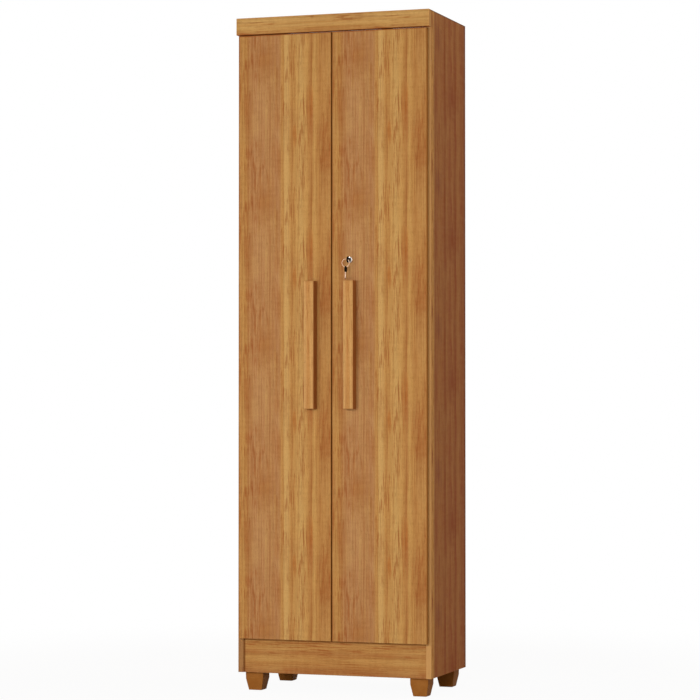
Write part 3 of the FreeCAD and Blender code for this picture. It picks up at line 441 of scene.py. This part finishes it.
def cornice_look(low, high):
    """Cornice laminate, its grain lying level, its end banding made paler with painted light, with
    painted shade underneath.
    """
    edge_light_and_shade = both_ends(low, high, CORNICE_END_BAND_AND_LIGHT)
    # Painted shade along the cornice's underside
    edge_light_and_shade.append(("Z", low.z, EDGE_BAND, SHADED_EDGE))
    return wood_look(
        "cornice_laminate", LEVEL_FRONT, low.z, high.z - low.z, CORNICE_LAYOUT,
        seed=CORNICE_SEED, edge_light_and_shade=edge_light_and_shade,
    )


def plinth_look(low, high):
    """Plinth laminate, its grain lying level, with a painted shadow along its left end and its top and
    painted shade at its right end.
    """
    edge_light_and_shade = [
        ("X", low.x, PLINTH_SHADOW_BAND, PLINTH_SHADOW_TONE),
        # Painted shade in the corner at the plinth's right end
        ("X", high.x, EDGE_BAND, BURNT),
        ("Z", high.z, PLINTH_SHADOW_BAND, PLINTH_SHADOW_TONE),
    ]
    return wood_look(
        "plinth_laminate", LEVEL_FRONT, low.z, high.z - low.z, PLINTH_LAYOUT,
        seed=PLINTH_SEED, edge_light_and_shade=edge_light_and_shade,
    )


def side_look(name, low, high, front_light_and_shade):
    """Side panel laminate, toned along its front, rear and top edges; the front edge is the edge band's
    tone with painted light on the right panel and painted shade on the left.
    """
    edge_light_and_shade = [
        ("Y", low.y, EDGE_BAND, front_light_and_shade),
        ("Y", high.y, EDGE_BAND, DARK_LINE),
        ("Z", high.z, SIDE_TOP_BAND, DARK_LINE),
    ]
    return wood_look(
        name, UPRIGHT_SIDE, low.y, high.y - low.y, SIDE_LAYOUT, SIDE_SMUDGES,
        contrast=SIDE_CONTRAST, painted_shade_share=SIDE_PAINTED_SHADE_SHARE, edge_light_and_shade=edge_light_and_shade,
    )


def shelf_look(low, high):
    """Laminate of the inner boards, its grain running from side to side."""
    return wood_look(
        "shelf_laminate", LEVEL_SHELF, low.y, high.y - low.y, SHELF_LAYOUT, seed=SHELF_SEED,
    )


# Hardware and sheets

PLASTIC_GLOSS = 0.03

# The lock face is bright out to the first radius and takes the wood's tone at the second, in metres: a
# painted reflection of the wood on the bezel's rim
BEZEL_REFLECTION_START = 0.0066
BEZEL_REFLECTION_FULL = 0.0080


def hardboard():
    """Smooth-faced hardboard: brown, with short pressed fibres lying every way."""
    finish = Finish("hardboard")
    felt = finish.noise(even(260.0), detail=4.0, roughness=0.65)
    cloud = finish.noise(even(5.0), detail=3.0)
    shown = finish.mix(finish.ramp(felt, zero=0.35, one=0.70), tone(128, 92, 60), tone(158, 120, 82))
    cloud_share = finish.ramp(cloud, zero=0.45, one=0.75) * 0.3
    shown = finish.mix(cloud_share, shown, tone(112, 78, 50))
    finish.set(Base_Color=shown, Roughness=0.62 + felt * 0.2)
    finish.bump(felt, depth=0.00012)
    return finish.material


def moulded_plastic(name, colour, light, roughness, depth):
    """Moulded plastic with a fine spark-eroded skin and a soft change of tone."""
    finish = Finish(name)
    skin = finish.noise(even(2200.0), detail=2.0, roughness=0.6)
    cloud = finish.noise(even(38.0), detail=3.0)
    shown = finish.mix(finish.ramp(cloud, zero=0.3, one=0.7), colour, light)
    skin_share = finish.ramp(skin, zero=0.55, one=0.8) * 0.15
    shown = finish.mix(skin_share, shown, darker(colour, 0.6))
    finish.set(
        Base_Color=shown, Roughness=roughness + skin * 0.12, Specular_IOR_Level=PLASTIC_GLOSS,
    )
    finish.bump(skin, depth)
    return finish.material


def plated_steel(name, colour, roughness):
    """Plated pressed steel, with faint rolling marks and dull patches."""
    finish = Finish(name)
    marks = finish.noise((2600.0, 2600.0, 60.0), detail=2.0, roughness=0.6)
    dull = finish.noise(even(70.0), detail=3.0, roughness=0.6)
    dull_share = finish.ramp(dull, zero=0.4, one=0.7) * 0.3
    shown = finish.mix(dull_share, colour, darker(colour, 0.7))
    dulled = roughness + finish.ramp(dull, zero=0.35, one=0.75) * 0.12
    finish.set(Base_Color=shown, Metallic=1.0, Roughness=dulled + marks * 0.06)
    finish.bump(marks, depth=0.00001)
    return finish.material


def cast_zinc():
    """Bare die-cast zinc, grey and slightly grainy."""
    finish = Finish("cam_zinc")
    grain = finish.noise(even(900.0), detail=3.0, roughness=0.6)
    shown = finish.mix(finish.ramp(grain, zero=0.35, one=0.7), tone(142, 144, 148), tone(176, 178, 182))
    finish.set(Base_Color=shown, Metallic=1.0, Roughness=0.42 + grain * 0.2)
    finish.bump(grain, depth=0.00004)
    return finish.material


def turned_beech():
    """Pale hardwood of the dowels, grain along them."""
    finish = Finish("dowel_wood")
    fibres = finish.noise((40.0, 1500.0, 1500.0), detail=3.0, roughness=0.6)
    shown = finish.mix(finish.ramp(fibres, zero=0.3, one=0.7), tone(206, 172, 124), tone(224, 196, 152))
    finish.set(Base_Color=shown, Roughness=0.6 + fibres * 0.1)
    finish.bump(fibres, depth=0.00005)
    return finish.material


def buffer_rubber():
    """Clear soft buffers, pale and slightly cloudy."""
    finish = Finish("bumper_rubber")
    cloud = finish.noise(even(500.0), detail=2.0)
    shown = finish.mix(cloud, tone(214, 212, 206), tone(232, 230, 226))
    finish.set(Base_Color=shown, Roughness=0.35 + cloud * 0.1)
    return finish.material


def lock_chrome(plug_low, plug_high):
    """Bright chrome of the lock face round its plug, with a painted reflection of the wood on the
    bezel's rim, and hairline wear.
    """
    finish = Finish("lock_chrome")
    aside = finish.axis("X") - (plug_low.x + plug_high.x) / 2
    lifted = finish.axis("Z") - (plug_low.z + plug_high.z) / 2
    wood_reflection = finish.ramp(diagonal(aside, lifted), BEZEL_REFLECTION_START, BEZEL_REFLECTION_FULL)
    haze = finish.noise(even(420.0), detail=3.0, roughness=0.6)
    scratch = finish.noise((3000.0, 60.0, 60.0), detail=2.0)
    haze_share = finish.ramp(haze, zero=0.4, one=0.7) * 0.2
    shown = finish.mix(haze_share, tone(246, 245, 243), tone(214, 214, 216))
    # Painted reflection of the wood on the bezel's rim
    shown = finish.mix(wood_reflection, shown, tone(150, 112, 76))
    roughness = 0.30 + finish.ramp(haze, zero=0.4, one=0.8) * 0.10
    finish.set(Base_Color=shown, Metallic=0.75, Roughness=roughness)
    finish.bump(finish.ramp(scratch, zero=0.6, one=0.8), depth=0.000004)
    return finish.material


# Dressing the pieces

def dress(material, pieces):
    """Give CAD pieces one material in place of their own."""
    for piece in pieces:
        slots = nodes[piece].data.materials
        slots.clear()
        slots.append(material)


def both(stem):
    """The names of the left and right one of a pair."""
    return [stem + "_left", stem + "_right"]


def dress_boards():
    """Laminate on the boards and lacquered wood on the handles."""
    dress(door_look("door_left_laminate", *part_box("door_left")), ["door_left"])
    dress(door_look("door_right_laminate", *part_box("door_right")), ["door_right"])
    dress(handle_look("handle_left_wood", *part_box("handle_left")), ["handle_left"])
    dress(handle_look("handle_right_wood", *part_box("handle_right")), ["handle_right"])
    dress(cornice_look(*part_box("cornice")), ["cornice"])
    dress(plinth_look(*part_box("plinth_front")), ["plinth_front"])
    side_low, side_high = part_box("side_panel_right")
    # The side panels' front edges: painted shade on the left one, painted light on the right one
    dress(side_look("side_left_laminate", side_low, side_high, LEFT_FRONT_EDGE_BAND_AND_SHADE), ["side_panel_left"])
    dress(side_look("side_right_laminate", side_low, side_high, FRONT_EDGE_BAND_AND_LIGHT), ["side_panel_right"])
    inner_boards = ["top_panel", "base_panel", "fixed_shelf", "plinth_rear"]
    inner_boards += ["adjustable_shelf_%d" % number for number in (1, 2, 3)]
    dress(shelf_look(side_low, side_high), inner_boards)


def dress_fittings():
    """Back sheets, feet, hinges, fasteners, buffers and the slide bolt."""
    brown_plastic = moulded_plastic(
        "brown_plastic", tone(145, 91, 38), tone(153, 100, 46), roughness=0.5, depth=0.00002,
    )
    bolt_plastic = moulded_plastic(
        "bolt_plastic", tone(52, 38, 30), tone(62, 46, 36), roughness=0.48, depth=0.00003,
    )
    hinge_steel = plated_steel("plated_steel", tone(206, 204, 200), roughness=0.26)
    screw_steel = plated_steel("screw_steel", tone(192, 192, 190), roughness=0.32)
    bolt_steel = plated_steel("bolt_steel", tone(200, 200, 198), roughness=0.28)
    dress(hardboard(), ["back_panel_lower", "back_panel_upper"])
    dress(brown_plastic, both("foot_front") + both("foot_rear"))
    dress(brown_plastic, ["back_joint_strip", "cornice_brackets"])
    for stem in ("hinge_arms", "hinge_plates", "hinge_cups", "hinge_pins"):
        dress(hinge_steel, both(stem))
    dress(hinge_steel, ["shelf_pins", "strike_plate", "lock_cam", "lock_nut"])
    for stem in ("hinge_cup_screws", "handle_screws"):
        dress(screw_steel, both(stem))
    dress(screw_steel, ["hinge_plate_screws", "hinge_arm_screws", "connecting_bolts", "back_nails"])
    dress(screw_steel, ["foot_screws", "cornice_bracket_screws", "bolt_case_screws", "lock_cam_screw"])
    dress(cast_zinc(), ["cam_fittings"])
    dress(turned_beech(), ["dowels"])
    dress(buffer_rubber(), both("door_bumpers"))
    dress(bolt_plastic, ["bolt_case"])
    dress(bolt_steel, ["slide_bolt"])


def dress_lock():
    """Chrome and steel on the lock, plastic and pale steel on the keys and their ring."""
    key_plastic = moulded_plastic(
        "key_plastic", tone(12, 11, 11), tone(20, 19, 18), roughness=0.45, depth=0.00001,
    )
    dress(lock_chrome(*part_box("lock_plug")), ["lock_housing"])
    # The plug's dark grey is painted shade cast by the key's bow
    dress(plated_steel("plug_steel_painted_shade", tone(84, 80, 78), roughness=0.40), ["lock_plug"])
    dress(key_plastic, ["key_bow", "spare_key_bow"])
    dress(
        plated_steel("key_steel", tone(186, 158, 138), roughness=0.42),
        ["key_blade", "spare_key_blade"],
    )
    dress(plated_steel("ring_steel", tone(212, 178, 148), roughness=0.34), ["key_ring"])


# Stage: pale floor with the object's shadow, white all round

WHITE = (1.0, 1.0, 1.0, 1.0)

# The floor as it is seen: its share of plain white near the object, and the distances in metres
# between which that share grows to the whole
FLOOR_WHITE_SHARE = 0.95
FADE_NEAR = 0.9
FADE_FAR = 2.2

# The floor as it lights the object: half its side in metres, its pale grey and its roughness
FLOOR_HALF = 40.0
FLOOR_GREY = (0.66, 0.66, 0.66, 1.0)
FLOOR_ROUGHNESS = 0.9

# Light that fills the shade, linear and slightly warm
FILL = (0.395, 0.317, 0.236, 1.0)

# Square soft lamps: name, place, the point that it faces, side in metres and power in watts
LAMPS = [
    ("key_lamp", (-1.2, -4.8, 1.25), (0.0, 0.0, -2.2), 1.3, 82.5),
    ("front_lamp", (0.6, -5.2, 1.45), (0.0, 0.0, -2.2), 1.7, 92.5),
    ("side_lamp", (1.9, 0.3, 4.0), (0.27, 0.0, 1.0), 1.5, 19.0),
]

# Camera: its place in metres, its turn to the left and tip upwards in radians, its lens and sensor
# width in millimetres, and how far it sees in metres
CAMERA_PLACE = (2.2614, -6.5442, 0.7988)
CAMERA_YAW = 0.33295
CAMERA_RISE = 0.01853
LENS = 129.75
SENSOR = 36.0
VIEW_END = 200.0


def plain_sight(tree):
    """1 for what the camera, gloss or a clear part sees, 0 for light on its way to the object."""
    path = tree.nodes.new("ShaderNodeLightPath")
    shown = path.outputs["Is Camera Ray"]
    for kind in ("Is Glossy Ray", "Is Transmission Ray"):
        most = tree.nodes.new("ShaderNodeMath")
        most.operation = "MAXIMUM"
        tree.links.new(shown, most.inputs[0])
        tree.links.new(path.outputs[kind], most.inputs[1])
        shown = most.outputs[0]
    return shown


def floor_material():
    """Pale floor that fades to plain white away from the object, wherever it is seen directly."""
    finish = Finish("floor_white")
    finish.set(Base_Color=FLOOR_GREY, Roughness=FLOOR_ROUGHNESS)
    away = finish.node("ShaderNodeVectorMath", {"operation": "LENGTH"}, {0: finish.place}, "Value")
    seen = Signal(finish, plain_sight(finish.tree))
    lit = Signal(finish, finish.shader.outputs[0])
    white = finish.node("ShaderNodeEmission", {}, {"Color": WHITE, "Strength": 1.0})
    fade = finish.ramp(away, FADE_NEAR, FADE_FAR)
    share = seen * (FLOOR_WHITE_SHARE + (1 - FLOOR_WHITE_SHARE) * fade)
    mixed = finish.node("ShaderNodeMixShader", {}, {0: share, 1: lit, 2: white})
    output = finish.tree.nodes["Material Output"]
    finish.tree.links.new(mixed.socket, output.inputs["Surface"])
    return finish.material


def lay_floor():
    """One wide square under the feet."""
    shape = bmesh.new()
    bmesh.ops.create_grid(shape, x_segments=1, y_segments=1, size=FLOOR_HALF)
    mesh = bpy.data.meshes.new("floor")
    shape.to_mesh(mesh)
    shape.free()
    floor = bpy.data.objects.new("floor", mesh)
    bpy.context.scene.collection.objects.link(floor)
    floor.data.materials.append(floor_material())


def light_world():
    """Even, slightly warm fill light; plain white where the camera, gloss or clear parts see it."""
    world = bpy.data.worlds.new("studio")
    bpy.context.scene.world = world
    world.use_nodes = True
    tree = world.node_tree
    background = tree.nodes["Background"]
    fill = tree.nodes.new("ShaderNodeMix")
    fill.data_type = "RGBA"
    fill.inputs[6].default_value = FILL
    fill.inputs[7].default_value = WHITE
    tree.links.new(plain_sight(tree), fill.inputs[0])
    tree.links.new(fill.outputs[2], background.inputs["Color"])


def add_lamp(name, place, aim, side, power):
    """A square soft lamp at one point, turned to another."""
    lamp = bpy.data.lights.new(name, "AREA")
    lamp.shape = "SQUARE"
    lamp.size = side
    lamp.energy = power
    holder = bpy.data.objects.new(name, lamp)
    holder.location = place
    holder.rotation_euler = (Vector(aim) - Vector(place)).to_track_quat("-Z", "Y").to_euler()
    bpy.context.scene.collection.objects.link(holder)


def set_camera():
    """Camera to the right of the cabinet at hip height, looking a little upwards."""
    camera = bpy.data.cameras.new("camera")
    camera.sensor_width = SENSOR
    camera.lens = LENS
    camera.clip_end = VIEW_END
    holder = bpy.data.objects.new("camera", camera)
    holder.location = CAMERA_PLACE
    holder.rotation_euler = (FULL_TURN / 4 + CAMERA_RISE, 0.0, CAMERA_YAW)
    bpy.context.scene.collection.objects.link(holder)
    bpy.context.scene.camera = holder


dress_boards()
dress_fittings()
dress_lock()
lay_floor()
light_world()
for lamp_row in LAMPS:
    add_lamp(*lamp_row)
set_camera()
bpy.context.scene.view_settings.view_transform = "Standard"
